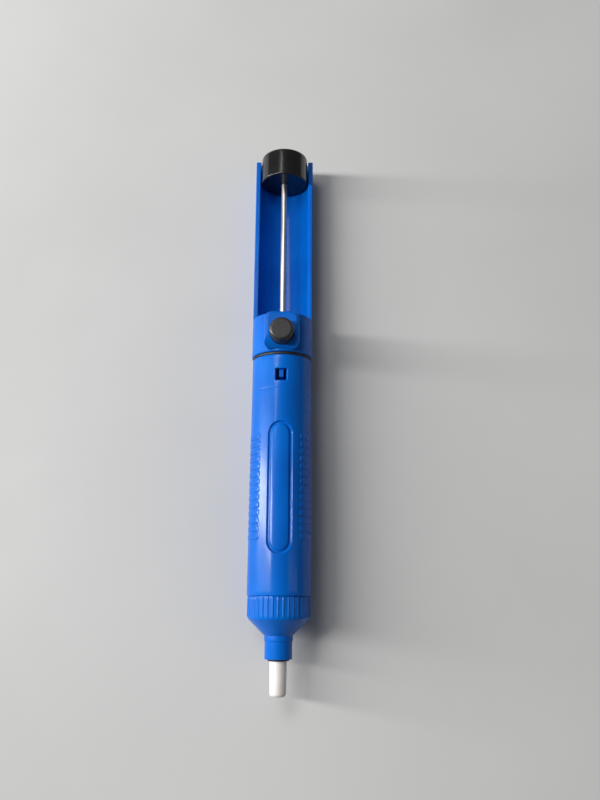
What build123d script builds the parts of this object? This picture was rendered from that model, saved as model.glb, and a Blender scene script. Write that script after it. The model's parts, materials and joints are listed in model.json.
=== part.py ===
"""Desoldering pump, lying flat: nozzle towards -Y, plunger knob towards +Y, button up (+Z).

Origin at the centre of the nozzle's end face. All lengths in millimetres.
Stations along the tool are Y values counted from the nozzle's end.
"""
from build123d import *
import math
import os

os.makedirs("parts", exist_ok=True)

# ---- stations along the tool -------------------------------------------------
COLLAR_MOUTH = 10.6
COLLAR_END = 17.4
CONE_END = 22.5
BARREL_START = 29.2
SPIGOT_END = 34.9
BARREL_END = 108.0
HOUSING_START = 109.1
HOUSING_END = 123.5
TROUGH_END = 191.3
KNOB_START = 181.3
KNOB_END = 193.0
STROKE = 48.0

# ---- radii --------------------------------------------------------------------
BARREL_R = 10.5
BORE_R = 8.3
KNURL_ROOT_R = 10.0
COLLAR_R = 4.4
COLLAR_BEAD = 0.2
BEAD_START = 15.8
BLOCK_R = 10.85
GUARD_END_R = 11.2
GUARD_INNER_R = 9.25
GUARD_INNER_END_R = 9.4
RAIL_Z = 0.6
KNOB_R = 9.0
KNOB_DISH_R = 40.0
KNOB_DISH_DEPTH = 0.6
ROD_R = 1.15
RUNNING = 0.07

# ---- barrel details --------------------------------------------------------------
RECESS_START = 41.6
RECESS_LENGTH = 43.0
RECESS_WIDTH = 8.7
RECESS_GROOVE_R = 9.85
RECESS_GROOVE_WIDTH = 1.1
RECESS_ISLAND_R = 10.28
RECESS_ISLAND_EDGE = 0.3
RIB_COUNT = 14
RIB_PITCH = 2.5
RIB_FIRST = 46.2
RIB_WIDTH = 1.9
RIB_PROUD = 0.2
RIB_NEAR_ANGLE = 39.0
RIB_FAR_ANGLE = 80.0
LATCH_HOLE = 4.2
LATCH_HOLE_Y = 100.8
RIM_CHAMFER = 0.35
WITNESS_Y = 95.9
WITNESS_WIDTH = 0.3
WITNESS_DEPTH = 0.08

# ---- upper housing, guide bush and bumper ------------------------------------------
HOUSING_SPIGOT_START = 97.2
NECK_R = 9.38
TAB_WIDTH = 1.5
TAB_LENGTH = 2.7
TAB_TOP_Z = 9.3
TAB_SLOT_Z = 5.0
TAB_SLOT_WIDTH = 4.4
BUSH_R = 2.58
BUSH_START = 97.3
BUSH_LENGTH = 10.8
BUSH_SEAT_R = 2.6
BUSH_SEAT_END = 108.2
BUMPER_R = 7.4
BUMPER_START = 95.55
BUMPER_THICK = 1.6

# ---- nozzle and nose cap -----------------------------------------------------------
NOZZLE_TIP_R = 2.6
NOZZLE_R = 2.75
NOZZLE_BORE_R = 1.4
TIP_ROUND = 0.9
NOZZLE_FLANGE_R = 3.95
NOZZLE_FLANGE_START = 20.2
NOZZLE_FLANGE_END = 21.5
NOZZLE_RING_Y = 10.5
NOZZLE_RING_MINOR = 0.38
NOZZLE_RING_MAJOR = 3.14
CAP_SEAT_Y = 26.2
CAP_CAVITY_R = 6.6
CAP_THROAT_R = 4.2
KNURL_COUNT = 38
KNURL_RIB_R = 0.3
GASKET_Y = 33.1
GASKET_MINOR = 0.5
GASKET_MAJOR = 7.73

# ---- release button ---------------------------------------------------------------------
BUTTON_Y = 115.2
BUTTON_R = 4.25
BUTTON_TOP_Z = 17.4
BUTTON_SKIRT_Z = 8.2
BUTTON_TRAVEL = 2.2
PAD_Z = 13.4
PAD_WIDTH = 12.4
PAD_ROOT_Z = 4.0
PAD_CORNER_R = 2.8
PAD_EDGE_R = 1.2
PAD_START = 109.55
PAD_END = 123.2
PAD_SLOPE_END = 114.2
PAD_SLOPE_R = 4.98
SLOT_PLAY = 0.7
BUTTON_SPRING_R = 1.75
BUTTON_SPRING_WIRE_R = 0.18
BUTTON_SPRING_TURNS = 4
BUTTON_SPRING_LOW_Z = -9.35
SPRING_POCKET_R = 2.2
SPRING_POCKET_Z = -9.6
PLATE_WIDTH = 6.6
PLATE_THICK = 1.5
PLATE_LOW_Z = -5.0
PLATE_HIGH_Z = 11.0
KEYHOLE_WIDTH = 3.2
LATCH_PIN_R = 0.6
LATCH_PIN_Z = 10.0
LATCH_PIN_LENGTH = 5.8

# ---- plunger train -------------------------------------------------------------------
PISTON_END = 95.2
PISTON_START = 83.2
PISTON_ROOF = 91.2
PISTON_CUP_R = 6.5
PISTON_RING_Y = 87.6
PISTON_RING_MINOR = 0.55
PISTON_RING_MAJOR = 7.70
PIN_R = 0.8
PIN_TIP_Y = 46.6
ROD_LOW_Y = 88.2
ROD_END = 189.5
CLIP_Y = 89.8
CLIP_NECK_R = 0.76
CLIP_R = 2.4
WASHER_R = 3.6
FIXING_THICK = 0.6
CATCH_Y = BUTTON_Y + STROKE
CATCH_DEPTH = 0.35
CATCH_LENGTH = 2.2

# ---- main spring ------------------------------------------------------------------------------
SPRING_WIRE_R = 0.55
SPRING_R = 5.35
SPRING_TURNS = 11
SEAT_THICK = 0.8


def station(y):
    """Plane across the tool at Y = y, local x along +X and local y along +Z, normal -Y."""
    return Plane.XZ.offset(-y)


def flank_sector(side):
    """Triangle from the axis that spans the ribs' angles, counted from +Z, on one side."""
    near = math.radians(RIB_NEAR_ANGLE)
    far = math.radians(RIB_FAR_ANGLE)
    reach = 3 * BARREL_R
    with BuildSketch(Plane.XY) as sector:
        with BuildLine():
            Polyline(
                (0, 0),
                (side * reach * math.sin(near), reach * math.cos(near)),
                (side * reach * math.sin(far), reach * math.cos(far)),
                close=True,
            )
        make_face()
    return sector.sketch


# ================= barrel =================
# form of the recess: a round-ended slot down to a floor that follows the barrel's curve
with BuildPart() as recess_form:
    with BuildSketch(Plane.XY.offset(BORE_R)):
        with Locations((0, RECESS_START + RECESS_LENGTH / 2)):
            SlotOverall(RECESS_LENGTH, RECESS_WIDTH, rotation=90)
    extrude(amount=BARREL_R + 1 - BORE_R)
    with BuildSketch(station(RECESS_START - 5)):
        Circle(RECESS_GROOVE_R)
    extrude(amount=-RECESS_LENGTH - 10, mode=Mode.SUBTRACT)

# low island left standing inside the recess, a groove's width from its wall
with BuildPart() as recess_island:
    with BuildSketch(Plane.XY.offset(BORE_R + 0.4)):
        with Locations((0, RECESS_START + RECESS_LENGTH / 2)):
            SlotOverall(
                RECESS_LENGTH - 2 * RECESS_GROOVE_WIDTH,
                RECESS_WIDTH - 2 * RECESS_GROOVE_WIDTH,
                rotation=90,
            )
    extrude(amount=BARREL_R - BORE_R)
    with BuildSketch(station(RECESS_START - 5)):
        Circle(RECESS_ISLAND_R)
    extrude(amount=-RECESS_LENGTH - 10, mode=Mode.INTERSECT)
    island_top = recess_island.faces().filter_by(GeomType.CYLINDER).sort_by(SortBy.AREA)[-1]
    chamfer(island_top.edges(), RECESS_ISLAND_EDGE)

with BuildPart() as barrel:
    with BuildSketch(Plane.XY):
        with Locations((BORE_R, BARREL_START)):
            Rectangle(BARREL_R - BORE_R, BARREL_END - BARREL_START, align=(Align.MIN, Align.MIN))
    revolve(axis=Axis.Y)
    rims = barrel.edges().filter_by(GeomType.CIRCLE).filter_by(lambda e: abs(e.radius - BARREL_R) < 0.01)
    chamfer(rims, RIM_CHAMFER)
    # raised finger ribs, one column on each flank
    for index in range(RIB_COUNT):
        for side in (-1, 1):
            with BuildSketch(station(RIB_FIRST + index * RIB_PITCH)):
                Circle(BARREL_R + RIB_PROUD)
                Circle(BARREL_R - 0.4, mode=Mode.SUBTRACT)
                add(flank_sector(side), mode=Mode.INTERSECT)
            extrude(amount=-RIB_WIDTH)
    # long round-ended recess on the front
    add(recess_form.part, mode=Mode.SUBTRACT)
    add(recess_island.part)
    # square window that the housing's snap tab clicks into
    with BuildSketch(Plane.XY.offset(BORE_R - 2)):
        with Locations((0, LATCH_HOLE_Y)):
            RectangleRounded(LATCH_HOLE, LATCH_HOLE, 0.35)
    extrude(amount=5, mode=Mode.SUBTRACT)
    # fine moulding witness line round the barrel
    with BuildSketch(Plane.XY):
        with Locations((BARREL_R, WITNESS_Y)):
            Rectangle(2 * WITNESS_DEPTH, WITNESS_WIDTH)
    revolve(axis=Axis.Y, mode=Mode.SUBTRACT)
barrel.part.label = "barrel"
export_step(barrel.part, "parts/barrel.step")

# ================= nose cap: knurled ring, cone, collar and spigot =================
with BuildPart() as nose_cap:
    with BuildSketch(Plane.XY):
        with BuildLine():
            Polyline(
                (NOZZLE_R + RUNNING, NOZZLE_RING_Y + 0.5),
                (NOZZLE_RING_MAJOR + NOZZLE_RING_MINOR + 0.02, NOZZLE_RING_Y + 0.5),
                (NOZZLE_RING_MAJOR + NOZZLE_RING_MINOR + 0.02, COLLAR_MOUTH),
                (COLLAR_R - 0.25, COLLAR_MOUTH),
                (COLLAR_R, COLLAR_MOUTH + 0.25),
                (COLLAR_R, BEAD_START),
                (COLLAR_R + COLLAR_BEAD, BEAD_START + 0.2),
                (COLLAR_R + COLLAR_BEAD, COLLAR_END),
                (KNURL_ROOT_R, CONE_END),
                (KNURL_ROOT_R, BARREL_START - 0.05),
                (BORE_R - RUNNING, BARREL_START - 0.05),
                (BORE_R - RUNNING, GASKET_Y - GASKET_MINOR - 0.05),
                (GASKET_MAJOR - GASKET_MINOR - 0.02, GASKET_Y - GASKET_MINOR - 0.05),
                (GASKET_MAJOR - GASKET_MINOR - 0.02, GASKET_Y + GASKET_MINOR + 0.05),
                (BORE_R - RUNNING, GASKET_Y + GASKET_MINOR + 0.05),
                (BORE_R - RUNNING, SPIGOT_END - 0.3),
                (BORE_R - RUNNING - 0.3, SPIGOT_END),
                (CAP_CAVITY_R, SPIGOT_END),
                (CAP_CAVITY_R, CAP_SEAT_Y),
                (CAP_THROAT_R, CAP_SEAT_Y),
                (CAP_THROAT_R, NOZZLE_FLANGE_START - 0.05),
                (NOZZLE_R + RUNNING, NOZZLE_FLANGE_START - 0.05),
                close=True,
            )
        make_face()
    revolve(axis=Axis.Y)
    # grip ribs along the ring
    with BuildSketch(station(CONE_END - 0.2)):
        with PolarLocations(KNURL_ROOT_R, KNURL_COUNT):
            Circle(KNURL_RIB_R)
    extrude(amount=-(BARREL_START - 0.05 - CONE_END))
nose_cap.part.label = "nose_cap"
export_step(nose_cap.part, "parts/nose_cap.step")

# ================= nozzle tip: slightly tapered tube with an inner flange =================
with BuildPart() as nozzle_tip:
    with BuildSketch(Plane.XY):
        with BuildLine():
            Line((NOZZLE_BORE_R, 0), (NOZZLE_TIP_R - TIP_ROUND, 0))
            ThreePointArc(
                (NOZZLE_TIP_R - TIP_ROUND, 0),
                (NOZZLE_TIP_R - 0.293 * TIP_ROUND, 0.293 * TIP_ROUND),
                (NOZZLE_TIP_R, TIP_ROUND),
            )
            Polyline(
                (NOZZLE_TIP_R, TIP_ROUND),
                (NOZZLE_R, 10.2),
                (NOZZLE_R, NOZZLE_FLANGE_START),
                (NOZZLE_FLANGE_R, NOZZLE_FLANGE_START),
                (NOZZLE_FLANGE_R, NOZZLE_FLANGE_END),
                (NOZZLE_BORE_R, NOZZLE_FLANGE_END),
                (NOZZLE_BORE_R, 0),
            )
        make_face()
    revolve(axis=Axis.Y)
nozzle_tip.part.label = "nozzle_tip"
export_step(nozzle_tip.part, "parts/nozzle_tip.step")


# ================= round seals =================
with BuildPart() as nozzle_o_ring:
    with BuildSketch(Plane.XY):
        with Locations((NOZZLE_RING_MAJOR, NOZZLE_RING_Y)):
            Circle(NOZZLE_RING_MINOR)
    revolve(axis=Axis.Y)
nozzle_o_ring.part.label = "nozzle_o_ring"
export_step(nozzle_o_ring.part, "parts/nozzle_o_ring.step")

with BuildPart() as nose_cap_gasket:
    with BuildSketch(Plane.XY):
        with Locations((GASKET_MAJOR, GASKET_Y)):
            Circle(GASKET_MINOR)
    revolve(axis=Axis.Y)
nose_cap_gasket.part.label = "nose_cap_gasket"
export_step(nose_cap_gasket.part, "parts/nose_cap_gasket.step")

BARREL_RING_MID = (BARREL_END + HOUSING_START) / 2
with BuildPart() as barrel_o_ring:
    with BuildSketch(Plane.XY):
        with Locations((BARREL_R - 0.55, BARREL_RING_MID)):
            RectangleRounded(1.1, HOUSING_START - BARREL_END - 0.04, 0.45)
    revolve(axis=Axis.Y)
barrel_o_ring.part.label = "barrel_o_ring"
export_step(barrel_o_ring.part, "parts/barrel_o_ring.step")

# ================= upper housing: spigot, block, button pad and open guard =================
# pad under the button: rounded square standing out of the block, curving down towards the barrel
with BuildPart() as button_pad:
    with BuildSketch(Plane.XY.offset(PAD_ROOT_Z)):
        with Locations((0, (PAD_START + PAD_END) / 2)):
            RectangleRounded(PAD_WIDTH, PAD_END - PAD_START, PAD_CORNER_R)
    extrude(amount=PAD_Z - PAD_ROOT_Z)
    fillet(button_pad.faces().sort_by(Axis.Z)[-1].edges(), PAD_EDGE_R)
    slope_drop = PAD_SLOPE_R - math.sqrt(PAD_SLOPE_R**2 - (PAD_SLOPE_END - PAD_START) ** 2)
    slope_reach = PAD_SLOPE_R * math.sin(math.radians(30))
    slope_dip = PAD_SLOPE_R * (1 - math.cos(math.radians(30)))
    with BuildSketch(Plane.YZ):
        with BuildLine():
            ThreePointArc(
                (PAD_START, PAD_Z - slope_drop),
                (PAD_SLOPE_END - slope_reach, PAD_Z - slope_dip),
                (PAD_SLOPE_END, PAD_Z),
            )
            Polyline(
                (PAD_SLOPE_END, PAD_Z),
                (PAD_END + 1, PAD_Z),
                (PAD_END + 1, PAD_ROOT_Z - 1),
                (PAD_START, PAD_ROOT_Z - 1),
                (PAD_START, PAD_Z - slope_drop),
            )
        make_face()
    extrude(amount=PAD_WIDTH, both=True, mode=Mode.INTERSECT)

# guard round the rod: half tube, open towards the front, a little wider at its far end
with BuildPart() as guard_form:
    with BuildSketch(Plane.XY):
        with BuildLine():
            Polyline(
                (GUARD_INNER_R, HOUSING_END - 0.5),
                (BLOCK_R, HOUSING_END - 0.5),
                (BLOCK_R, HOUSING_END),
                (GUARD_END_R, TROUGH_END),
                (GUARD_INNER_END_R, TROUGH_END),
                close=True,
            )
        make_face()
    revolve(axis=Axis.Y)
    with BuildSketch(station(HOUSING_END - 1)):
        with Locations((0, RAIL_Z)):
            Rectangle(30, 20, align=(Align.CENTER, Align.MIN))
    extrude(amount=-(TROUGH_END - HOUSING_END + 2), mode=Mode.SUBTRACT)
    rail_rims = guard_form.edges().filter_by(lambda e: abs(e.center().Z - RAIL_Z) < 0.01)
    chamfer(rail_rims.filter_by(lambda e: e.length > 20), 0.2)

with BuildPart() as upper_housing:
    # spigot inside the barrel and neck under the seal
    with BuildSketch(station(HOUSING_SPIGOT_START)):
        Circle(BORE_R - RUNNING)
    extrude(amount=-(BARREL_END - HOUSING_SPIGOT_START))
    with BuildSketch(station(BARREL_END)):
        Circle(NECK_R)
    extrude(amount=-(HOUSING_START - BARREL_END))
    # block
    with BuildSketch(station(HOUSING_START)):
        Circle(BLOCK_R)
    extrude(amount=-(HOUSING_END - HOUSING_START))
    lower_rim = upper_housing.edges().filter_by(GeomType.CIRCLE)
    lower_rim = lower_rim.filter_by(lambda e: abs(e.radius - BLOCK_R) < 0.01).sort_by(Axis.Y)[0]
    chamfer(lower_rim, RIM_CHAMFER)
    # pad under the button
    add(button_pad.part)
    add(guard_form.part)
    # relief round the snap tab, then the tab itself, standing in the barrel's window
    with BuildSketch(Plane.XY.offset(TAB_SLOT_Z)):
        with Locations((0, LATCH_HOLE_Y)):
            Rectangle(TAB_SLOT_WIDTH, TAB_SLOT_WIDTH)
    extrude(amount=BORE_R - TAB_SLOT_Z, mode=Mode.SUBTRACT)
    with BuildSketch(Plane.XY.offset(TAB_SLOT_Z - 0.5)):
        with Locations((0, LATCH_HOLE_Y + LATCH_HOLE / 2 - 0.1)):
            Rectangle(TAB_WIDTH, TAB_LENGTH, align=(Align.CENTER, Align.MAX))
    extrude(amount=TAB_TOP_Z - TAB_SLOT_Z + 0.5)
    # rod way, guide bush seat
    with BuildSketch(station(HOUSING_SPIGOT_START - 1)):
        Circle(ROD_R + 0.35)
    extrude(amount=-(HOUSING_END - HOUSING_SPIGOT_START + 3), mode=Mode.SUBTRACT)
    with BuildSketch(station(HOUSING_SPIGOT_START - 1)):
        Circle(BUSH_SEAT_R)
    extrude(amount=-(BUSH_SEAT_END - HOUSING_SPIGOT_START + 1), mode=Mode.SUBTRACT)
    # button well
    with BuildSketch(Plane.XY.offset(BUTTON_SKIRT_Z - BUTTON_TRAVEL - 0.5)):
        with Locations((0, BUTTON_Y)):
            Circle(BUTTON_R + RUNNING)
    extrude(amount=10, mode=Mode.SUBTRACT)
    # slot for the latch plate and pocket for its return spring
    with BuildSketch(Plane.XY.offset(PLATE_LOW_Z - BUTTON_TRAVEL - 0.5)):
        with Locations((0, BUTTON_Y)):
            Rectangle(PLATE_WIDTH + SLOT_PLAY, PLATE_THICK + SLOT_PLAY)
    extrude(amount=16, mode=Mode.SUBTRACT)
    with BuildSketch(Plane.XY.offset(SPRING_POCKET_Z)):
        with Locations((0, BUTTON_Y)):
            Circle(SPRING_POCKET_R)
    extrude(amount=5, mode=Mode.SUBTRACT)
upper_housing.part.label = "upper_housing"
export_step(upper_housing.part, "parts/upper_housing.step")

# ================= rod guide bush and bumper =================
with BuildPart() as rod_guide_bush:
    with BuildSketch(Plane.XY):
        with Locations((ROD_R + 0.05, BUSH_START)):
            Rectangle(BUSH_R - ROD_R - 0.05, BUSH_LENGTH, align=(Align.MIN, Align.MIN))
    revolve(axis=Axis.Y)
rod_guide_bush.part.label = "rod_guide_bush"
export_step(rod_guide_bush.part, "parts/rod_guide_bush.step")

with BuildPart() as rod_bumper:
    with BuildSketch(Plane.XY):
        with Locations((ROD_R + 0.4, BUMPER_START)):
            Rectangle(BUMPER_R - ROD_R - 0.4, BUMPER_THICK, align=(Align.MIN, Align.MIN))
    revolve(axis=Axis.Y)
    bumper_rims = rod_bumper.edges().filter_by(GeomType.CIRCLE)
    fillet(bumper_rims.filter_by(lambda e: e.radius > BUMPER_R - 0.1), 0.4)
rod_bumper.part.label = "rod_bumper"
export_step(rod_bumper.part, "parts/rod_bumper.step")

# ================= piston, its seal and fixings =================
with BuildPart() as piston:
    with BuildSketch(Plane.XY):
        with BuildLine():
            Polyline(
                (PISTON_CUP_R, PISTON_START),
                (BORE_R - RUNNING - 0.3, PISTON_START),
                (BORE_R - RUNNING, PISTON_START + 0.3),
                (BORE_R - RUNNING, PISTON_RING_Y - PISTON_RING_MINOR - 0.05),
                (PISTON_RING_MAJOR - PISTON_RING_MINOR - 0.02, PISTON_RING_Y - PISTON_RING_MINOR - 0.05),
                (PISTON_RING_MAJOR - PISTON_RING_MINOR - 0.02, PISTON_RING_Y + PISTON_RING_MINOR + 0.05),
                (BORE_R - RUNNING, PISTON_RING_Y + PISTON_RING_MINOR + 0.05),
                (BORE_R - RUNNING, PISTON_END - 0.5),
                (BORE_R - RUNNING - 0.5, PISTON_END),
                (ROD_R, PISTON_END),
                (ROD_R, PISTON_ROOF),
                (PISTON_CUP_R, PISTON_ROOF),
                close=True,
            )
        make_face()
    revolve(axis=Axis.Y)
piston.part.label = "piston"
export_step(piston.part, "parts/piston.step")

with BuildPart() as piston_o_ring:
    with BuildSketch(Plane.XY):
        with Locations((PISTON_RING_MAJOR, PISTON_RING_Y)):
            Circle(PISTON_RING_MINOR)
    revolve(axis=Axis.Y)
piston_o_ring.part.label = "piston_o_ring"
export_step(piston_o_ring.part, "parts/piston_o_ring.step")

# washer and clip that hold the piston on the rod's lower end
with BuildPart() as piston_washer:
    with BuildSketch(station(CLIP_Y + FIXING_THICK + 0.15)):
        Circle(WASHER_R)
        Circle(ROD_R + 0.03, mode=Mode.SUBTRACT)
    extrude(amount=-FIXING_THICK)
piston_washer.part.label = "piston_washer"
export_step(piston_washer.part, "parts/piston_washer.step")

with BuildPart() as piston_clip:
    with BuildSketch(station(CLIP_Y)):
        Circle(CLIP_R)
        Circle(CLIP_NECK_R + 0.02, mode=Mode.SUBTRACT)
        with Locations((0, -1.6)):
            Rectangle(1.3, 3.2, mode=Mode.SUBTRACT)
    extrude(amount=-FIXING_THICK)
piston_clip.part.label = "piston_clip"
export_step(piston_clip.part, "parts/piston_clip.step")

# ================= plunger rod with catch notch =================
with BuildPart() as plunger_rod:
    with BuildSketch(Plane.XY):
        with BuildLine():
            Polyline(
                (0, ROD_LOW_Y),
                (ROD_R - 0.2, ROD_LOW_Y),
                (ROD_R, ROD_LOW_Y + 0.2),
                (ROD_R, CLIP_Y - 0.03),
                (CLIP_NECK_R, CLIP_Y - 0.03),
                (CLIP_NECK_R, CLIP_Y + FIXING_THICK + 0.03),
                (ROD_R, CLIP_Y + FIXING_THICK + 0.03),
                (ROD_R, ROD_END),
                (0, ROD_END),
                close=True,
            )
        make_face()
    revolve(axis=Axis.Y)
    # notch on the rod's back, where the latch plate catches it
    with BuildSketch(Plane.XY.offset(-ROD_R - 0.2)):
        with Locations((0, CATCH_Y)):
            Rectangle(3, CATCH_LENGTH)
    extrude(amount=CATCH_DEPTH + 0.2, mode=Mode.SUBTRACT)
    # blind hole for the cleaning pin
    with BuildSketch(station(ROD_LOW_Y - 1)):
        Circle(PIN_R)
    extrude(amount=-1.0, mode=Mode.SUBTRACT)
plunger_rod.part.label = "plunger_rod"
export_step(plunger_rod.part, "parts/plunger_rod.step")

with BuildPart() as cleaning_pin:
    with BuildSketch(Plane.XY):
        with BuildLine():
            Polyline(
                (0, PIN_TIP_Y),
                (0.45, PIN_TIP_Y),
                (PIN_R, PIN_TIP_Y + 1.0),
                (PIN_R, ROD_LOW_Y - 0.02),
                (0, ROD_LOW_Y - 0.02),
                close=True,
            )
        make_face()
    revolve(axis=Axis.Y)
cleaning_pin.part.label = "cleaning_pin"
export_step(cleaning_pin.part, "parts/cleaning_pin.step")

# ================= plunger knob =================
with BuildPart() as plunger_knob:
    with BuildSketch(station(KNOB_START)):
        Circle(KNOB_R)
    extrude(amount=-(KNOB_END - KNOB_START))
    knob_rims = plunger_knob.edges().filter_by(GeomType.CIRCLE).sort_by(Axis.Y)
    fillet(knob_rims[-1], 1.4)
    fillet(knob_rims[0], 0.5)
    # shallow dish for the thumb
    with BuildSketch(Plane.XY):
        with Locations((0, KNOB_END + KNOB_DISH_R - KNOB_DISH_DEPTH)):
            Circle(KNOB_DISH_R)
            Rectangle(
                2 * KNOB_DISH_R + 1,
                2 * KNOB_DISH_R + 1,
                align=(Align.MAX, Align.CENTER),
                mode=Mode.SUBTRACT,
            )
    revolve(axis=Axis.Y, mode=Mode.SUBTRACT)
    # blind hole that grips the rod
    with BuildSketch(station(KNOB_START - 1)):
        Circle(ROD_R + 0.01)
    extrude(amount=-(ROD_END - KNOB_START + 1.05), mode=Mode.SUBTRACT)
plunger_knob.part.label = "plunger_knob"
export_step(plunger_knob.part, "parts/plunger_knob.step")

# ================= release button, latch plate, cross pin =================
with BuildPart() as release_button:
    with BuildSketch(Plane.XY.offset(BUTTON_SKIRT_Z)):
        with Locations((0, BUTTON_Y)):
            Circle(BUTTON_R)
    extrude(amount=BUTTON_TOP_Z - BUTTON_SKIRT_Z)
    crown = release_button.edges().filter_by(GeomType.CIRCLE).sort_by(Axis.Z)[-1]
    fillet(crown, 1.0)
    # slot that takes the latch plate's head
    with BuildSketch(Plane.XY.offset(BUTTON_SKIRT_Z)):
        with Locations((0, BUTTON_Y)):
            Rectangle(PLATE_WIDTH + 0.1, PLATE_THICK + 0.06)
    extrude(amount=PLATE_HIGH_Z + 0.05 - BUTTON_SKIRT_Z, mode=Mode.SUBTRACT)
    # cross hole for the pin
    with BuildSketch(station(BUTTON_Y - LATCH_PIN_LENGTH / 2 - 0.1)):
        with Locations((0, LATCH_PIN_Z)):
            Circle(LATCH_PIN_R + 0.02)
    extrude(amount=-LATCH_PIN_LENGTH - 0.2, mode=Mode.SUBTRACT)
release_button.part.label = "release_button"
export_step(release_button.part, "parts/release_button.step")

with BuildPart() as latch_plate:
    with BuildSketch(station(BUTTON_Y - PLATE_THICK / 2)):
        with Locations((0, (PLATE_LOW_Z + PLATE_HIGH_Z) / 2)):
            RectangleRounded(PLATE_WIDTH, PLATE_HIGH_Z - PLATE_LOW_Z, 0.6)
        # keyhole that clears the rod over the button's travel
        with Locations((0, BUTTON_TRAVEL / 2)):
            SlotOverall(KEYHOLE_WIDTH + BUTTON_TRAVEL, KEYHOLE_WIDTH, rotation=90, mode=Mode.SUBTRACT)
        with Locations((0, LATCH_PIN_Z)):
            Circle(LATCH_PIN_R + 0.02, mode=Mode.SUBTRACT)
    extrude(amount=-PLATE_THICK)
latch_plate.part.label = "latch_plate"
export_step(latch_plate.part, "parts/latch_plate.step")

with BuildPart() as latch_pin:
    with BuildSketch(station(BUTTON_Y - LATCH_PIN_LENGTH / 2)):
        with Locations((0, LATCH_PIN_Z)):
            Circle(LATCH_PIN_R)
    extrude(amount=-LATCH_PIN_LENGTH)
latch_pin.part.label = "latch_pin"
export_step(latch_pin.part, "parts/latch_pin.step")

# ================= springs =================
# washer that the main spring stands on
with BuildPart() as spring_seat:
    with BuildSketch(station(CAP_SEAT_Y + 0.02)):
        Circle(CAP_CAVITY_R - 0.05)
        Circle(CAP_THROAT_R, mode=Mode.SUBTRACT)
    extrude(amount=-SEAT_THICK)
spring_seat.part.label = "spring_seat"
export_step(spring_seat.part, "parts/spring_seat.step")

SPRING_LOW_Y = CAP_SEAT_Y + SEAT_THICK + 0.1 + SPRING_WIRE_R
SPRING_HIGH_Y = PISTON_ROOF - 0.1 - SPRING_WIRE_R
SPRING_HEIGHT = SPRING_HIGH_Y - SPRING_LOW_Y
with BuildPart() as main_spring:
    with BuildLine() as main_coil:
        Helix(
            pitch=SPRING_HEIGHT / SPRING_TURNS,
            height=SPRING_HEIGHT,
            radius=SPRING_R,
            center=(0, SPRING_LOW_Y, 0),
            direction=(0, 1, 0),
        )
    with BuildSketch(Plane(origin=main_coil.line @ 0, z_dir=main_coil.line % 0)):
        Circle(SPRING_WIRE_R)
    sweep(path=main_coil.line, is_frenet=True)
main_spring.part.label = "main_spring"
export_step(main_spring.part, "parts/main_spring.step")

BUTTON_SPRING_HEIGHT = PLATE_LOW_Z - 0.3 - BUTTON_SPRING_LOW_Z
with BuildPart() as button_spring:
    with BuildLine() as button_coil:
        Helix(
            pitch=BUTTON_SPRING_HEIGHT / BUTTON_SPRING_TURNS,
            height=BUTTON_SPRING_HEIGHT,
            radius=BUTTON_SPRING_R,
            center=(0, BUTTON_Y, BUTTON_SPRING_LOW_Z),
        )
    with BuildSketch(Plane(origin=button_coil.line @ 0, z_dir=button_coil.line % 0)):
        Circle(BUTTON_SPRING_WIRE_R)
    sweep(path=button_coil.line, is_frenet=True)
button_spring.part.label = "button_spring"
export_step(button_spring.part, "parts/button_spring.step")
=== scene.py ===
"""Desoldering pump lying on a pale studio floor, seen from above its button side."""
import json
import math

import bmesh
import bpy
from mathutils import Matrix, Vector


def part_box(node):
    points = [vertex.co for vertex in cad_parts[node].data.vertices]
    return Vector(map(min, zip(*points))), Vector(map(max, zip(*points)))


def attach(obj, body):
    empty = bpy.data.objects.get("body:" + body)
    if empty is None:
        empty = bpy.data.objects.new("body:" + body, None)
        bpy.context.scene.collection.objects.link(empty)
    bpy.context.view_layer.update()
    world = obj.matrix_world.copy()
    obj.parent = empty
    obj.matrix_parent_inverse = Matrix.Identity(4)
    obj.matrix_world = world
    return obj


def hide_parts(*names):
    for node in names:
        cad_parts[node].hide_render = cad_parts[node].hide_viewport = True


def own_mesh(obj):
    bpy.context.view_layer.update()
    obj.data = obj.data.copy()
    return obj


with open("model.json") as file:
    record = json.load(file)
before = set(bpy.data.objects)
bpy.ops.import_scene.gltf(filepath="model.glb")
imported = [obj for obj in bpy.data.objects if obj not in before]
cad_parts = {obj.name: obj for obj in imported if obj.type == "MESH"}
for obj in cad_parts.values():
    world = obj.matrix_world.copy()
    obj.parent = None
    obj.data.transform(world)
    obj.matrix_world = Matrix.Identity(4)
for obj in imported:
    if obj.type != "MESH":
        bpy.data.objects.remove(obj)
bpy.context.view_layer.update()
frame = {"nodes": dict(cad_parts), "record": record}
NODES = frame["nodes"]
MM = 0.001


# ---- the frame's own measures ---------------------------------------------------
def low(node):
    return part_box(node)[0]


def high(node):
    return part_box(node)[1]


FLOOR_Z = min(low(name).z for name in NODES)
TOOL_LENGTH = high("plunger_knob").y


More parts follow.
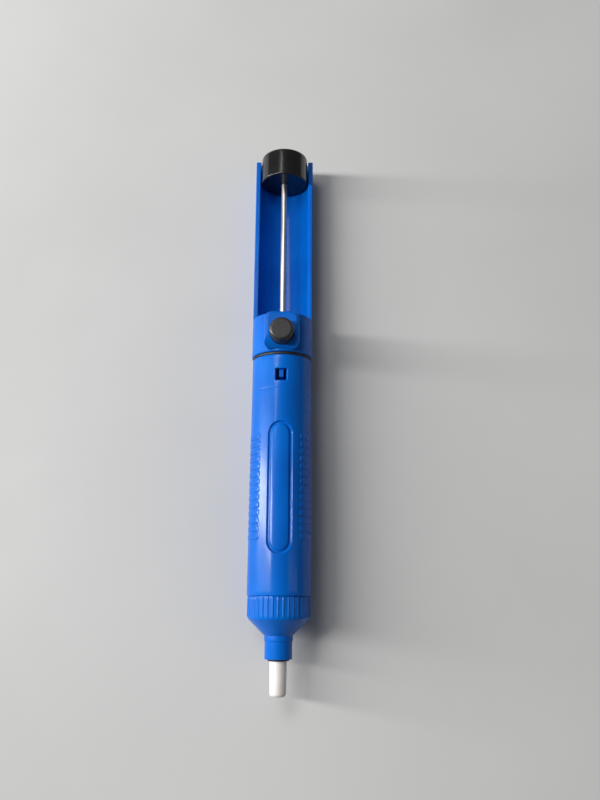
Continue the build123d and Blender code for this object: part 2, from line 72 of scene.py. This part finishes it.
# ---- materials ---------------------------------------------------------------------
class Nodes:
    """A node tree under construction, with short calls for the nodes used below."""

    def __init__(self, name):
        self.material = bpy.data.materials.new(name)
        self.material.use_nodes = True
        self.tree = self.material.node_tree
        self.shader = self.tree.nodes["Principled BSDF"]
        self.coords = self.tree.nodes.new("ShaderNodeTexCoord").outputs["Object"]

    def link(self, source, target):
        self.tree.links.new(source, target)

    def stretched(self, scale):
        mapping = self.tree.nodes.new("ShaderNodeMapping")
        mapping.inputs["Scale"].default_value = scale
        self.link(self.coords, mapping.inputs["Vector"])
        return mapping.outputs["Vector"]

    def noise(self, scale, detail=4.0, stretch=(1, 1, 1), rough=0.5):
        noise = self.tree.nodes.new("ShaderNodeTexNoise")
        noise.inputs["Scale"].default_value = scale
        noise.inputs["Detail"].default_value = detail
        noise.inputs["Roughness"].default_value = rough
        self.link(self.stretched(stretch), noise.inputs["Vector"])
        return noise.outputs["Fac"]

    def ramp(self, source, stops):
        ramp = self.tree.nodes.new("ShaderNodeValToRGB")
        elements = ramp.color_ramp.elements
        while len(elements) < len(stops):
            elements.new(0.5)
        for element, (place, colour) in zip(elements, stops):
            element.position = place
            element.color = (*colour, 1)
        self.link(source, ramp.inputs["Fac"])
        return ramp.outputs["Color"]

    def remap(self, source, from_low, from_high, to_low, to_high):
        node = self.tree.nodes.new("ShaderNodeMapRange")
        for socket, value in zip(
            ("From Min", "From Max", "To Min", "To Max"), (from_low, from_high, to_low, to_high)
        ):
            node.inputs[socket].default_value = value
        self.link(source, node.inputs["Value"])
        return node.outputs["Result"]

    def math(self, operation, a, b):
        node = self.tree.nodes.new("ShaderNodeMath")
        node.operation = operation
        for index, value in enumerate((a, b)):
            if isinstance(value, (int, float)):
                node.inputs[index].default_value = value
            else:
                self.link(value, node.inputs[index])
        return node.outputs["Value"]

    def bump(self, height, distance, strength=1.0, under=None):
        node = self.tree.nodes.new("ShaderNodeBump")
        node.inputs["Distance"].default_value = distance
        node.inputs["Strength"].default_value = strength
        self.link(height, node.inputs["Height"])
        if under is not None:
            self.link(under, node.inputs["Normal"])
        return node.outputs["Normal"]

    def soft_edges(self, radius):
        node = self.tree.nodes.new("ShaderNodeBevel")
        node.samples = 6
        node.inputs["Radius"].default_value = radius
        return node.outputs["Normal"]

    def edge_wear(self):
        """High on convex edges, where handling rubs the surface."""
        geometry = self.tree.nodes.new("ShaderNodeNewGeometry")
        return self.remap(geometry.outputs["Pointiness"], 0.505, 0.56, 0.0, 1.0)

    def set(self, **values):
        for name, value in values.items():
            self.shader.inputs[name.replace("_", " ")].default_value = value


def moulded(name, dark, mid, light, rough, grain, grain_depth, coat=0.0, speck=0.5):
    """Injection-moulded plastic: slow colour drift, fine surface grain, handling scratches."""
    n = Nodes(name)
    drift = n.noise(60, 5)
    n.link(n.ramp(drift, ((0.25, dark), (0.5, mid), (0.8, light))), n.shader.inputs["Base Color"])
    smudge = n.noise(180, 6, stretch=(1, 0.35, 1), rough=0.6)
    scratch = n.noise(700, 2, stretch=(1, 0.03, 1))
    fine = n.remap(scratch, 0.62, 0.72, 0.0, 0.08)
    rough_map = n.math("ADD", n.remap(smudge, 0.3, 0.7, rough - 0.06, rough + 0.08), fine)
    worn = n.math("MULTIPLY", n.edge_wear(), 0.08)
    n.link(n.math("ADD", rough_map, worn), n.shader.inputs["Roughness"])
    grain_map = n.noise(grain, 3, rough=0.65)
    base = n.bump(grain_map, grain_depth, 1.0, n.soft_edges(0.00022))
    n.link(n.bump(scratch, 0.000006, 0.5, base), n.shader.inputs["Normal"])
    n.set(IOR=1.5, Coat_Weight=coat, Coat_Roughness=0.12)
    n.shader.inputs["Specular IOR Level"].default_value = speck
    return n.material


def drawn_metal(name, dark, light, rough, along=(1, 0.02, 1), line_depth=0.000004):
    """Metal with drawing or turning lines."""
    n = Nodes(name)
    lines = n.noise(2600, 3, stretch=along)
    blotch = n.noise(120, 5)
    tone = n.math("ADD", n.math("MULTIPLY", lines, 0.6), n.math("MULTIPLY", blotch, 0.4))
    n.link(n.ramp(tone, ((0.3, dark), (0.7, light))), n.shader.inputs["Base Color"])
    n.link(n.remap(lines, 0.3, 0.7, rough - 0.07, rough + 0.1), n.shader.inputs["Roughness"])
    n.link(n.bump(lines, line_depth, 1.0, n.soft_edges(0.0001)), n.shader.inputs["Normal"])
    n.set(Metallic=1.0)
    return n.material


def rubber(name):
    """Seal rubber with a dull bloom and a fine texture."""
    n = Nodes(name)
    bloom = n.noise(500, 5)
    tones = ((0.3, (0.006, 0.006, 0.007)), (0.75, (0.02, 0.02, 0.021)))
    n.link(n.ramp(bloom, tones), n.shader.inputs["Base Color"])
    n.link(n.remap(bloom, 0.3, 0.7, 0.42, 0.62), n.shader.inputs["Roughness"])
    n.link(n.bump(n.noise(4000, 3), 0.00001), n.shader.inputs["Normal"])
    n.set(IOR=1.52)
    return n.material


def waxy_white(name):
    """Heat-proof white polymer, faintly translucent, a little warmer in patches."""
    n = Nodes(name)
    tint = n.noise(140, 5)
    tones = ((0.25, (0.74, 0.66, 0.61)), (0.55, (0.84, 0.79, 0.75)), (0.85, (0.9, 0.88, 0.86)))
    n.link(n.ramp(tint, tones), n.shader.inputs["Base Color"])
    n.link(n.remap(n.noise(400, 4), 0.3, 0.7, 0.34, 0.5), n.shader.inputs["Roughness"])
    turning = n.noise(1500, 2, stretch=(0.05, 1, 0.05))
    n.link(n.bump(turning, 0.000008, 0.6, n.soft_edges(0.0002)), n.shader.inputs["Normal"])
    n.set(IOR=1.38, Subsurface_Weight=0.25, Subsurface_Scale=0.0015)
    n.shader.inputs["Subsurface Radius"].default_value = (1.0, 0.9, 0.8)
    return n.material


BLUE = moulded(
    "blue_plastic", dark=(0.0, 0.10, 0.48), mid=(0.0, 0.125, 0.56), light=(0.0, 0.15, 0.62),
    rough=0.3, grain=1600, grain_depth=0.000006, coat=0.25, speck=0.1,
)
BLACK = moulded(
    "black_plastic", dark=(0.006, 0.005, 0.005), mid=(0.009, 0.008, 0.008), light=(0.015, 0.013, 0.012),
    rough=0.17, grain=2600, grain_depth=0.000004, coat=0.3,
)
GREY = moulded(
    "grey_plastic", dark=(0.012, 0.011, 0.011), mid=(0.018, 0.016, 0.016), light=(0.03, 0.027, 0.026),
    rough=0.38, grain=2400, grain_depth=0.00003, coat=0.15,
)
WHITE = waxy_white("white_plastic")
STEEL = drawn_metal("steel", (0.66, 0.63, 0.59), (0.84, 0.82, 0.79), 0.34, line_depth=0.0000015)
SPRING = drawn_metal("spring_steel", (0.3, 0.3, 0.31), (0.5, 0.5, 0.5), 0.3)
BRASS = drawn_metal("brass", (0.6, 0.42, 0.17), (0.78, 0.6, 0.3), 0.28, along=(0.05, 1, 0.05))
RUBBER = rubber("black_rubber")

SLOT_MATERIAL = {
    "blue_plastic": BLUE,
    "black_plastic": BLACK,
    "grey_plastic": GREY,
    "white_plastic": WHITE,
    "steel": STEEL,
    "spring_steel": SPRING,
    "brass": BRASS,
    "black_rubber": RUBBER,
}


def finish_cad_nodes():
    """Every CAD node gets the procedural material of its slot."""
    for entry in frame["record"]["subparts"]:
        node = NODES[entry["node"]]
        node.data.materials.clear()
        node.data.materials.append(SLOT_MATERIAL[entry["material_slot"]])


finish_cad_nodes()


# ---- mesh helpers --------------------------------------------------------------------
def smoothstep(t):
    t = min(1.0, max(0.0, t))
    return t * t * (3 - 2 * t)


def span(start, end, count):
    """count + 1 evenly spaced values from start to end."""
    return [start + (end - start) * i / count for i in range(count + 1)]


def merged(values, gap):
    """Sorted values with near duplicates dropped."""
    kept = []
    for value in sorted(values):
        if not kept or value - kept[-1] > gap:
            kept.append(value)
    return kept


def rounded_outline(corners, steps=5):
    """Closed outline (radius, station) with each corner (radius, station, round) turned to an arc."""
    outline = []
    count = len(corners)
    for i, (r, y, rounding) in enumerate(corners):
        here = Vector((r, y))
        before = Vector(corners[i - 1][:2]) - here
        after = Vector(corners[(i + 1) % count][:2]) - here
        if rounding <= 0:
            outline.append(here)
            continue
        reach = min(rounding, 0.48 * before.length, 0.48 * after.length)
        start = here + before.normalized() * reach
        end = here + after.normalized() * reach
        for t in span(0, 1, steps):
            outline.append((1 - t) ** 2 * start + 2 * t * (1 - t) * here + t ** 2 * end)
    return outline


def add_piece(build, name, body, node, material):
    """Turns a bmesh into a smooth piece that rides on its body and stands for its CAD node."""
    bmesh.ops.recalc_face_normals(build, faces=build.faces[:])
    mesh = bpy.data.meshes.new(name)
    for face in build.faces:
        face.smooth = True
    build.to_mesh(mesh)
    build.free()
    mesh.materials.append(material)
    piece = bpy.data.objects.new(name, mesh)
    bpy.context.scene.collection.objects.link(piece)
    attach(piece, body)
    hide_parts(node)
    return piece


def on_axis(radius, angle, y):
    """Point at that radius round the tool's axis; angle 0 is the button side (+Z)."""
    return Vector((radius * math.sin(angle), y, radius * math.cos(angle)))


def skin(build, rings):
    """Closes consecutive rings of vertices with quads, round each ring and from the last to the first."""
    count = len(rings[0])
    for i, ring in enumerate(rings):
        following = rings[(i + 1) % len(rings)]
        for j in range(count):
            k = (j + 1) % count
            build.faces.new((ring[j], ring[k], following[k], following[j]))


def turned(outline, columns, surface):
    """bmesh of an outline turned round the tool's axis; surface(angle, y, radius) gives each radius."""
    build = bmesh.new()
    angles = [2 * math.pi * j / columns for j in range(columns)]
    rings = []
    for radius, y in outline:
        ring = []
        for angle in angles:
            ring.append(build.verts.new(on_axis(surface(angle, y, radius), angle, y)))
        rings.append(ring)
    skin(build, rings)
    return build


# ---- barrel: finger ribs, front recess, window --------------------------------------------
BARREL_LOW = low("barrel").y
BARREL_HIGH = high("barrel").y
BARREL_R = high("barrel_o_ring").x
BORE_R = 8.3 * MM
WALL_RIM = 0.2 * MM
RECESS_LOW = 41.6 * MM
RECESS_HIGH = 84.6 * MM
RECESS_HALF = 4.35 * MM
# the recess: its groove's depth and wall, then the low island that rises inside it
RECESS_DEPTH = 0.65 * MM
RECESS_WALL = 0.45 * MM
ISLAND_RISE = 0.43 * MM
ISLAND_START = 0.6 * MM
ISLAND_SLOPE = 1.0 * MM
RIB_COUNT = 14
RIB_FIRST = 46.2 * MM
RIB_PITCH = 2.5 * MM
RIB_WIDTH = 1.9 * MM
RIB_PROUD = 0.2 * MM
RIB_EDGE = 0.16 * MM
RIB_CORNER = 0.8 * MM
RIB_NEAR = math.radians(39)
RIB_FAR = math.radians(80)
WINDOW_HALF = 2.1 * MM
WINDOW_Y = 100.8 * MM
WINDOW_EDGE = 0.22 * MM
WITNESS_Y = 96.05 * MM
WITNESS_DEPTH = 0.07 * MM
WITNESS_SPREAD = 0.12 * MM
SHARP_ANGLE = math.radians(50)


def box_distance(u, v, half_u, half_v, corner):
    """Signed distance from a rounded rectangle centred on 0, 0."""
    du = abs(u) - half_u + corner
    dv = abs(v) - half_v + corner
    outside = math.hypot(max(du, 0), max(dv, 0))
    return outside + min(max(du, dv), 0) - corner


def recess_distance(arc, y):
    middle = (RECESS_LOW + RECESS_HIGH) / 2
    return box_distance(arc, y - middle, RECESS_HALF, (RECESS_HIGH - RECESS_LOW) / 2, RECESS_HALF)


def rib_height(arc, y):
    index = round((y - RIB_FIRST - RIB_WIDTH / 2) / RIB_PITCH)
    if not 0 <= index < RIB_COUNT:
        return 0.0
    centre = RIB_FIRST + index * RIB_PITCH + RIB_WIDTH / 2
    middle = BARREL_R * (RIB_NEAR + RIB_FAR) / 2
    half = BARREL_R * (RIB_FAR - RIB_NEAR) / 2
    away = box_distance(abs(arc) - middle, y - centre, half, RIB_WIDTH / 2, RIB_CORNER)
    return RIB_PROUD * smoothstep(-away / RIB_EDGE)


def barrel_surface(angle, y):
    """Radius of the barrel's skin between its end rims."""
    arc = BARREL_R * angle
    radius = BARREL_R + rib_height(arc, y)
    away = recess_distance(arc, y)
    radius -= RECESS_DEPTH * smoothstep(-away / RECESS_WALL)
    radius += ISLAND_RISE * smoothstep((-away - ISLAND_START) / ISLAND_SLOPE)
    window = box_distance(arc, y - WINDOW_Y, WINDOW_HALF, WINDOW_HALF, 0)
    if window < WINDOW_EDGE:
        radius -= 0.5 * WINDOW_EDGE * (1 - window / WINDOW_EDGE) ** 2
    radius -= WITNESS_DEPTH * math.exp(-(((y - WITNESS_Y) / WITNESS_SPREAD) ** 2))
    return radius


def barrel_stations():
    """Stations of the skin's rows, close together wherever its shape turns."""
    rib_slope = span(-0.02 * MM, 0.2 * MM, 4)
    rib_shoulder = 0.45 * MM
    outside_recess = 0.6 * MM
    inside_recess = 4.6 * MM
    beside_window = 0.24 * MM
    beside_witness = 0.3 * MM
    least_gap = 0.03 * MM
    rows = span(BARREL_LOW + WALL_RIM, BARREL_HIGH - WALL_RIM, 60)
    for index in range(RIB_COUNT):
        start = RIB_FIRST + index * RIB_PITCH
        for edge, inward in ((start, 1), (start + RIB_WIDTH, -1)):
            rows += [edge + inward * step for step in rib_slope]
            rows.append(edge + inward * rib_shoulder)
    rows += span(RECESS_LOW - outside_recess, RECESS_LOW + inside_recess, 36)
    rows += span(RECESS_HIGH - inside_recess, RECESS_HIGH + outside_recess, 36)
    rows += span(WITNESS_Y - beside_witness, WITNESS_Y + beside_witness, 8)
    rows += span(WINDOW_Y - WINDOW_HALF - beside_window, WINDOW_Y - WINDOW_HALF, 3)
    rows += span(WINDOW_Y + WINDOW_HALF, WINDOW_Y + WINDOW_HALF + beside_window, 3)
    return merged(rows, least_gap)


def barrel_angles():
    """Angles of the skin's columns from -180 to 180 degrees, close together round the details."""
    degree = math.pi / 180
    front = 26 * degree
    back = 178 * degree
    least_gap = 0.05 * degree
    round_rib_end = (-0.3, 0, 0.3, 0.6, 0.95, 1.5, 2.2)
    half = span(0, front, 40)
    half += span(front, back, 76)
    for edge, inward in ((RIB_NEAR, 1), (RIB_FAR, -1)):
        half += [edge + inward * step * degree for step in round_rib_end]
    for away in span(0, 0.24 * MM, 3):
        half.append((WINDOW_HALF + away) / BARREL_R)
    both = merged(half + [-a for a in half if a > 0], least_gap)
    return both + [math.pi]


def nearest(values, wanted):
    """Index of the value closest to the one wanted."""
    return min(range(len(values)), key=lambda i: abs(values[i] - wanted))


def barrel_rim(build, angles, y, inward):
    """Rings that turn the skin over the end face."""
    rings = []
    for t in span(0, math.pi / 2, 4)[1:]:
        radius = BARREL_R - WALL_RIM * (1 - math.cos(t))
        place = y + inward * WALL_RIM * (1 - math.sin(t))
        rings.append([build.verts.new(on_axis(radius, a, place)) for a in angles])
    return rings


def window_walls(build, outer, lower, upper, columns):
    """Four walls from the skin to the bore; lower and upper each pair a skin row with an inner ring."""
    w_left, w_right = columns
    for j in range(w_left, w_right):
        for row, inner in (lower, upper):
            build.faces.new((outer[row][j], outer[row][j + 1], inner[j + 1], inner[j]))
    for j in (w_left, w_right):
        side = [outer[i][j] for i in range(lower[0], upper[0] + 1)]
        build.faces.new(side + [upper[1][j], lower[1][j]])


def make_barrel():
    build = bmesh.new()
    rows = barrel_stations()
    angles = barrel_angles()
    count = len(angles)
    w_low = nearest(rows, WINDOW_Y - WINDOW_HALF)
    w_high = nearest(rows, WINDOW_Y + WINDOW_HALF)
    w_left = nearest(angles, -WINDOW_HALF / BARREL_R)
    w_right = nearest(angles, WINDOW_HALF / BARREL_R)
    # the skin has rows from low to high, the bore comes back from high to low
    outer = [[build.verts.new(on_axis(barrel_surface(a, y), a, y)) for a in angles] for y in rows]
    inner_rows = [BARREL_HIGH, rows[w_high], rows[w_low], BARREL_LOW]
    inner = [[build.verts.new(on_axis(BORE_R, a, y)) for a in angles] for y in inner_rows]
    top = barrel_rim(build, angles, BARREL_HIGH, -1)
    bottom = barrel_rim(build, angles, BARREL_LOW, 1)[::-1]
    rings = outer + top + inner + bottom
    first_inner = len(outer) + len(top)
    for i, ring in enumerate(rings):
        following = rings[(i + 1) % len(rings)]
        for j in range(count):
            k = (j + 1) % count
            between = w_left <= j < w_right
            in_skin = i < len(outer) and w_low <= i < w_high
            if between and (in_skin or i == first_inner + 1):
                continue
            build.faces.new((ring[j], ring[k], following[k], following[j]))
    window_walls(build, outer, (w_low, inner[2]), (w_high, inner[1]), (w_left, w_right))
    piece = add_piece(build, "barrel_shell", "barrel", "barrel", BLUE)
    piece.data.set_sharp_from_angle(angle=SHARP_ANGLE)


# ---- nose cap: knurled ring, cone, collar -----------------------------------------------------
KNURL_COUNT = 38
KNURL_LOW = 22.75 * MM
KNURL_HIGH = 29.1 * MM
KNURL_PROUD = 0.22 * MM
KNURL_SHARE = 0.38
KNURL_MIN_R = 9.5 * MM
KNURL_LOW_RAMP = 0.5 * MM
KNURL_HIGH_RAMP = 0.15 * MM
KNURL_COLUMNS_PER_RIB = 12


def knurl(angle, y, radius):
    """Narrow rounded grip ribs on the ring, each with a rounded lower end."""
    if radius < KNURL_MIN_R:
        return radius
    turn = KNURL_COUNT * angle / (2 * math.pi)
    across = abs(turn - round(turn)) / (KNURL_SHARE / 2)
    crest = 1 - smoothstep(across)
    low_end = smoothstep((y - KNURL_LOW) / KNURL_LOW_RAMP)
    high_end = smoothstep((KNURL_HIGH - y) / KNURL_HIGH_RAMP)
    return radius + KNURL_PROUD * crest * (low_end * high_end)


def make_nose_cap():
    # radius, station and rounding of each corner in mm, from the collar's mouth round the outside and back
    corners = (
        (2.82, 11.0, 0), (3.54, 11.0, 0), (3.54, 10.6, 0.1), (4.4, 10.6, 0.3),
        (4.4, 15.75, 0.1), (4.6, 15.95, 0.12), (4.6, 17.25, 0.1), (4.52, 17.4, 0.1),
        (9.95, 22.45, 0.7), (10.0, 23.2, 0.1), (10.0, 24.4, 0), (10.0, 25.6, 0), (10.0, 26.8, 0),
        (10.0, 28.0, 0), (10.0, 28.7, 0), (10.0, 29.15, 0.12), (8.23, 29.15, 0.05), (8.23, 32.55, 0),
        (7.21, 32.55, 0), (7.21, 33.65, 0), (8.23, 33.65, 0), (8.23, 34.9, 0.3), (6.6, 34.9, 0.1),
        (6.6, 26.2, 0), (4.2, 26.2, 0), (4.2, 20.15, 0), (2.82, 20.15, 0),
    )
    outline = rounded_outline([(r * MM, y * MM, rounding * MM) for r, y, rounding in corners])
    build = turned(outline, KNURL_COUNT * KNURL_COLUMNS_PER_RIB, knurl)
    piece = add_piece(build, "nose_cap_shell", "nose_cap", "nose_cap", BLUE)
    piece.data.set_sharp_from_angle(angle=SHARP_ANGLE)


# ---- springs: coils wound from wire -----------------------------------------------------------
MAIN_COIL_R = 5.35 * MM
MAIN_WIRE_R = 0.55 * MM
MAIN_TURNS = 11
BUTTON_COIL_R = 1.75 * MM
BUTTON_WIRE_R = 0.18 * MM
BUTTON_TURNS = 4
STEPS_PER_TURN = 36
WIRE_SIDES = 10
PITCH_DRIFT = 0.5


def make_coil(name, node, start, axis, side, coil_r, wire_r, height, turns):
    """Wire wound round an axis, its pitch a little longer at both ends."""
    build = bmesh.new()
    steps = turns * STEPS_PER_TURN
    across = axis.cross(side)
    rings = []
    for i in range(steps + 1):
        turn = turns * i / steps
        share = turn / turns
        climbed = share + PITCH_DRIFT / turns * math.sin(2 * math.pi * share) / math.pi
        centre = start + axis * (height * min(1.0, max(0.0, climbed)))
        angle = 2 * math.pi * turn
        outward = side * math.cos(angle) + across * math.sin(angle)
        centre = centre + outward * coil_r
        ring = []
        for k in range(WIRE_SIDES):
            around = 2 * math.pi * k / WIRE_SIDES
            off_centre = (outward * math.cos(around) + axis * math.sin(around)) * wire_r
            ring.append(build.verts.new(centre + off_centre))
        rings.append(ring)
    for ring, following in zip(rings, rings[1:]):
        for k in range(WIRE_SIDES):
            m = (k + 1) % WIRE_SIDES
            build.faces.new((ring[k], ring[m], following[m], following[k]))
    build.faces.new(rings[0])
    build.faces.new(rings[-1])
    piece = add_piece(build, name, "barrel", node, SPRING)
    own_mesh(piece)


def make_main_spring():
    start, end = low("main_spring").y, high("main_spring").y
    height = end - start - 2 * MAIN_WIRE_R
    make_coil(
        "main_spring_coil", "main_spring",
        Vector((0, start + MAIN_WIRE_R, 0)), Vector((0, 1, 0)), Vector((0, 0, 1)),
        MAIN_COIL_R, MAIN_WIRE_R, height, MAIN_TURNS,
    )


def make_button_spring():
    start, end = low("button_spring"), high("button_spring")
    height = end.z - start.z - 2 * BUTTON_WIRE_R
    centre_y = (start.y + end.y) / 2
    make_coil(
        "button_spring_coil", "button_spring",
        Vector((0, centre_y, start.z + BUTTON_WIRE_R)), Vector((0, 0, 1)), Vector((1, 0, 0)),
        BUTTON_COIL_R, BUTTON_WIRE_R, height, BUTTON_TURNS,
    )


make_barrel()
make_nose_cap()
make_main_spring()
make_button_spring()


# ---- stage: floor, light, camera ---------------------------------------------------
FLOOR_HALF = 3.0


def pale_floor():
    mesh = bpy.data.meshes.new("floor")
    build = bmesh.new()
    corners = []
    for x, y in ((-1, -1), (1, -1), (1, 1), (-1, 1)):
        corners.append(build.verts.new((x * FLOOR_HALF, y * FLOOR_HALF, FLOOR_Z)))
    build.faces.new(corners)
    build.to_mesh(mesh)
    build.free()
    floor = bpy.data.objects.new("floor", mesh)
    bpy.context.scene.collection.objects.link(floor)
    n = Nodes("floor_paper")
    tones = ((0.3, (0.56, 0.555, 0.545)), (0.7, (0.61, 0.605, 0.595)))
    n.link(n.ramp(n.noise(9, 4), tones), n.shader.inputs["Base Color"])
    n.link(n.bump(n.noise(900, 3), 0.00002, 0.4), n.shader.inputs["Normal"])
    n.link(n.remap(n.noise(40, 3), 0.3, 0.7, 0.75, 0.9), n.shader.inputs["Roughness"])
    mesh.materials.append(n.material)


def softbox(name, place, target, size, watts):
    """White rectangular lamp at place, facing target."""
    data = bpy.data.lights.new(name, "AREA")
    data.shape = "RECTANGLE"
    data.size, data.size_y = size
    data.energy = watts
    lamp = bpy.data.objects.new(name, data)
    lamp.location = place
    lamp.rotation_euler = (Vector(target) - Vector(place)).to_track_quat("-Z", "Y").to_euler()
    bpy.context.scene.collection.objects.link(lamp)


def studio_light():
    middle = (0, TOOL_LENGTH / 2, 0)
    softbox("key_left", place=(-1.0, 0.2, 0.62), target=middle, size=(0.12, 1.3), watts=21.0)
    softbox("top_soft", place=(-0.3, 0.5, 0.9), target=middle, size=(0.4, 0.3), watts=2.4)
    softbox("fill_right", place=(0.6, 0.05, 0.5), target=middle, size=(0.05, 0.5), watts=0.12)
    world = bpy.data.worlds.new("studio")
    world.use_nodes = True
    background = world.node_tree.nodes["Background"]
    background.inputs["Color"].default_value = (0.9, 0.94, 1.0, 1)
    background.inputs["Strength"].default_value = 0.1
    bpy.context.scene.world = world


def photo_camera():
    """Above the nose, leaning towards the knob: the near nose looks larger than the far knob."""
    camera_height = 0.2638
    camera_station = 0.0278
    camera_side = 0.0068
    lean = math.radians(21.15)
    turn = math.radians(0.25)
    data = bpy.data.cameras.new("camera")
    data.sensor_width = 36
    data.lens = 34.25
    data.shift_y = -0.117
    data.clip_start = 0.005
    camera = bpy.data.objects.new("camera", data)
    camera.location = (camera_side, camera_station, camera_height)
    camera.rotation_euler = (lean, 0, turn)
    bpy.context.scene.collection.objects.link(camera)
    bpy.context.scene.camera = camera


pale_floor()
studio_light()
photo_camera()
bpy.context.scene.view_settings.view_transform = "Standard"
